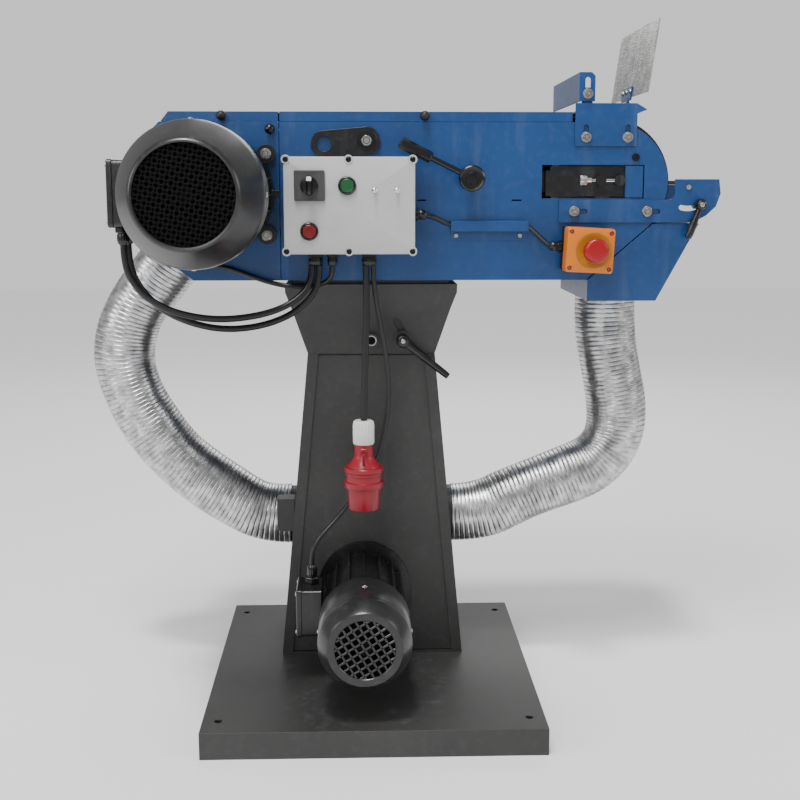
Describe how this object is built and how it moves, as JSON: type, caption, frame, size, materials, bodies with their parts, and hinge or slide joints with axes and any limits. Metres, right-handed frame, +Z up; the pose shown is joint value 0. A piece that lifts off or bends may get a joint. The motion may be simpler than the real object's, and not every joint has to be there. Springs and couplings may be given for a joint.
{
  "type": "belt grinder",
  "caption": "Pedestal belt grinder with a tilting belt head over a contact wheel, motor, switch box, work rest, eye shield and dust extraction ducts to a blower in the stand.",
  "frame": {"origin": "centre of the base tray's footprint, on the floor", "axes": "+Z up, +Y from the operator's side towards the rear cover, +X towards the contact wheel"},
  "size_m": [1.0603, 0.645, 1.1199],
  "materials": {
    "abrasive": "coated abrasive cloth",
    "black_plastic": "matt moulded",
    "black_steel": "black textured paint",
    "blue_paint": "satin paint",
    "box_plastic": "light grey moulded",
    "cable_rubber": "satin sheath",
    "cast_aluminium": "cast and turned",
    "chrome_plate": "bright plated",
    "clear_shield": "clear polycarbonate",
    "cowl_paint": "satin painted pressed steel",
    "dark_paint": "fine textured powder coat",
    "duct_foil": "spiral corrugated",
    "glossy_black": "gloss moulded",
    "green_plastic": "gloss moulded",
    "motor_black": "gloss painted aluminium casting",
    "red_plastic": "gloss moulded",
    "silver_plate": "zinc-plated",
    "steel": "ground",
    "wheel_rubber": "serrated",
    "yellow_plastic": "satin moulded"
  },
  "bodies": {
    "stand": {"base_tray": "dark_paint", "pillar_shell": "dark_paint", "pillar_front_panel": "dark_paint", "pillar_head": "dark_paint", "pivot_bolts": "silver_plate", "blower_motor_body": "motor_black", "blower_cowl": "cowl_paint", "blower_terminal_box": "motor_black", "blower_scroll": "dark_paint", "duct_left": "duct_foil", "duct_right": "duct_foil", "blower_cable": "cable_rubber"},
    "lock_lever": {"lock_lever": "black_steel"},
    "blower_rotor": {"blower_shaft": "steel", "blower_impeller": "cast_aluminium"},
    "head": {"saddle": "blue_paint", "head_band": "blue_paint", "drive_panel": "blue_paint", "front_panel": "blue_paint", "rear_panel": "blue_paint", "platen": "steel", "spark_chute": "blue_paint", "main_motor_body": "motor_black", "main_motor_cowl": "cowl_paint", "motor_terminal_box": "motor_black", "grinding_belt": "abrasive", "control_box": "box_plastic", "control_box_lid": "box_plastic", "control_bezels": "glossy_black", "cable_glands": "black_plastic", "estop_base": "black_plastic", "estop_cover": "yellow_plastic", "cable_channel": "blue_paint", "clamp_screws": "silver_plate", "motor_cable_upper": "cable_rubber", "motor_cable_lower": "cable_rubber", "sensor_cable": "cable_rubber", "estop_cable": "cable_rubber"},
    "power_lead": {"power_cable": "cable_rubber", "power_plug": "red_plastic"},
    "drive_rotor": {"drive_shaft": "steel", "drive_wheel": "cast_aluminium"},
    "contact_arm": {"contact_arm": "black_steel"},
    "contact_wheel": {"contact_hub": "cast_aluminium", "contact_tyre": "wheel_rubber"},
    "tracking_nut": {"tracking_nut": "chrome_plate"},
    "tension_lever": {"tension_lever": "black_steel"},
    "main_lid": {"main_lid": "blue_paint"},
    "rear_lid": {"rear_lid": "blue_paint"},
    "lifting_lug": {"lifting_lug": "black_steel"},
    "switch_knob": {"switch_knob": "glossy_black"},
    "green_button": {"green_button": "green_plastic"},
    "red_button": {"red_button": "red_plastic"},
    "estop_button": {"estop_button": "red_plastic"},
    "upper_guard": {"upper_guard": "blue_paint"},
    "eye_shield": {"eye_shield": "clear_shield"},
    "top_bracket": {"top_bracket": "blue_paint"},
    "work_rest": {"rest_plates": "blue_paint"},
    "rest_table": {"rest_table": "steel"},
    "rest_lever": {"rest_lever": "black_steel"}
  },
  "joints": [
    {"name": "head_tilt", "type": "hinge", "parent": "stand", "child": "head", "pos_m": [0, 0.13, 0.599], "axis": [0, 1, 0], "range_deg": [0, 36], "deforming": ["duct_left", "duct_right", "blower_cable"]},
    {"name": "lead_swing", "type": "hinge", "parent": "head", "child": "power_lead", "pos_m": [-0.009, -0.046, 0.728], "axis": [0, 1, 0], "range_deg": [-36, 0], "deforming": ["power_cable"]},
    {"name": "lock_turn", "type": "hinge", "parent": "stand", "child": "lock_lever", "pos_m": [0.053, 0.01, 0.599], "axis": [0, 1, 0], "range_deg": [-60, 75]},
    {"name": "blower_spin", "type": "hinge", "parent": "stand", "child": "blower_rotor", "pos_m": [-0.014, -0.06, 0.166], "axis": [0, 1, 0], "continuous": true},
    {"name": "drive_spin", "type": "hinge", "parent": "head", "child": "drive_rotor", "pos_m": [-0.257, 0.1, 0.841], "axis": [0, 1, 0], "continuous": true},
    {"name": "tension_slide", "type": "slide", "parent": "head", "child": "contact_arm", "axis": [-1, 0, 0], "range_m": [0, 0.015], "deforming": ["grinding_belt"]},
    {"name": "contact_spin", "type": "hinge", "parent": "contact_arm", "child": "contact_wheel", "pos_m": [0.388, 0.1, 0.86], "axis": [0, 1, 0], "continuous": true},
    {"name": "tracking_turn", "type": "hinge", "parent": "contact_arm", "child": "tracking_nut", "pos_m": [0.35, -0.015, 0.864], "axis": [1, 0, 0], "range_deg": [-180, 180]},
    {"name": "tension_lever_turn", "type": "hinge", "parent": "head", "child": "tension_lever", "pos_m": [0.161, -0.03, 0.867], "axis": [0, 1, 0], "range_deg": [0, 75]},
    {"name": "main_lid_open", "type": "hinge", "parent": "head", "child": "main_lid", "pos_m": [0.09, 0.263, 0.973], "axis": [-1, 0, 0], "range_deg": [0, 100]},
    {"name": "rear_lid_open", "type": "hinge", "parent": "head", "child": "rear_lid", "pos_m": [-0.243, 0.263, 0.973], "axis": [-1, 0, 0], "range_deg": [0, 100]},
    {"name": "lug_swing", "type": "hinge", "parent": "head", "child": "lifting_lug", "pos_m": [-0.007, -0.015, 0.927], "axis": [0, 1, 0], "range_deg": [0, 90]},
    {"name": "switch_turn", "type": "hinge", "parent": "head", "child": "switch_knob", "pos_m": [-0.097, -0.09, 0.855], "axis": [0, 1, 0], "range_deg": [-60, 60]},
    {"name": "green_press", "type": "slide", "parent": "head", "child": "green_button", "axis": [0, 1, 0], "range_m": [0, 0.003], "stiffness_N_per_m": 900},
    {"name": "red_press", "type": "slide", "parent": "head", "child": "red_button", "axis": [0, 1, 0], "range_m": [0, 0.003], "stiffness_N_per_m": 900},
    {"name": "estop_press", "type": "slide", "parent": "head", "child": "estop_button", "axis": [0, 1, 0], "range_m": [0, 0.005]},
    {"name": "guard_slide", "type": "slide", "parent": "head", "child": "upper_guard", "axis": [0, 0, -1], "range_m": [0, 0.011]},
    {"name": "shield_tilt", "type": "hinge", "parent": "upper_guard", "child": "eye_shield", "pos_m": [0.441, 0.12, 0.994], "axis": [0, 1, 0], "range_deg": [-20, 45]},
    {"name": "bracket_slide", "type": "slide", "parent": "head", "child": "top_bracket", "axis": [0, 0, -1], "range_m": [0, 0.012]},
    {"name": "rest_slide", "type": "slide", "parent": "head", "child": "work_rest", "axis": [-1, 0, 0], "range_m": [0, 0.014]},
    {"name": "rest_tilt", "type": "hinge", "parent": "work_rest", "child": "rest_table", "pos_m": [0.519, 0.13, 0.853], "axis": [0, 1, 0], "range_deg": [0, 50]},
    {"name": "rest_lever_turn", "type": "hinge", "parent": "rest_table", "child": "rest_lever", "pos_m": [0.539, -0.025, 0.825], "axis": [0, 1, 0], "range_deg": [-80, 80]}
  ],
  "couplings": [
    {"joint": "contact_spin", "follows": "drive_spin", "ratio": 1.1321},
    {"joint": "lead_swing", "follows": "head_tilt", "ratio": -1},
    {"joint": "tension_slide", "follows": "tension_lever_turn", "m_per_rad": 0.011459}
  ]
}
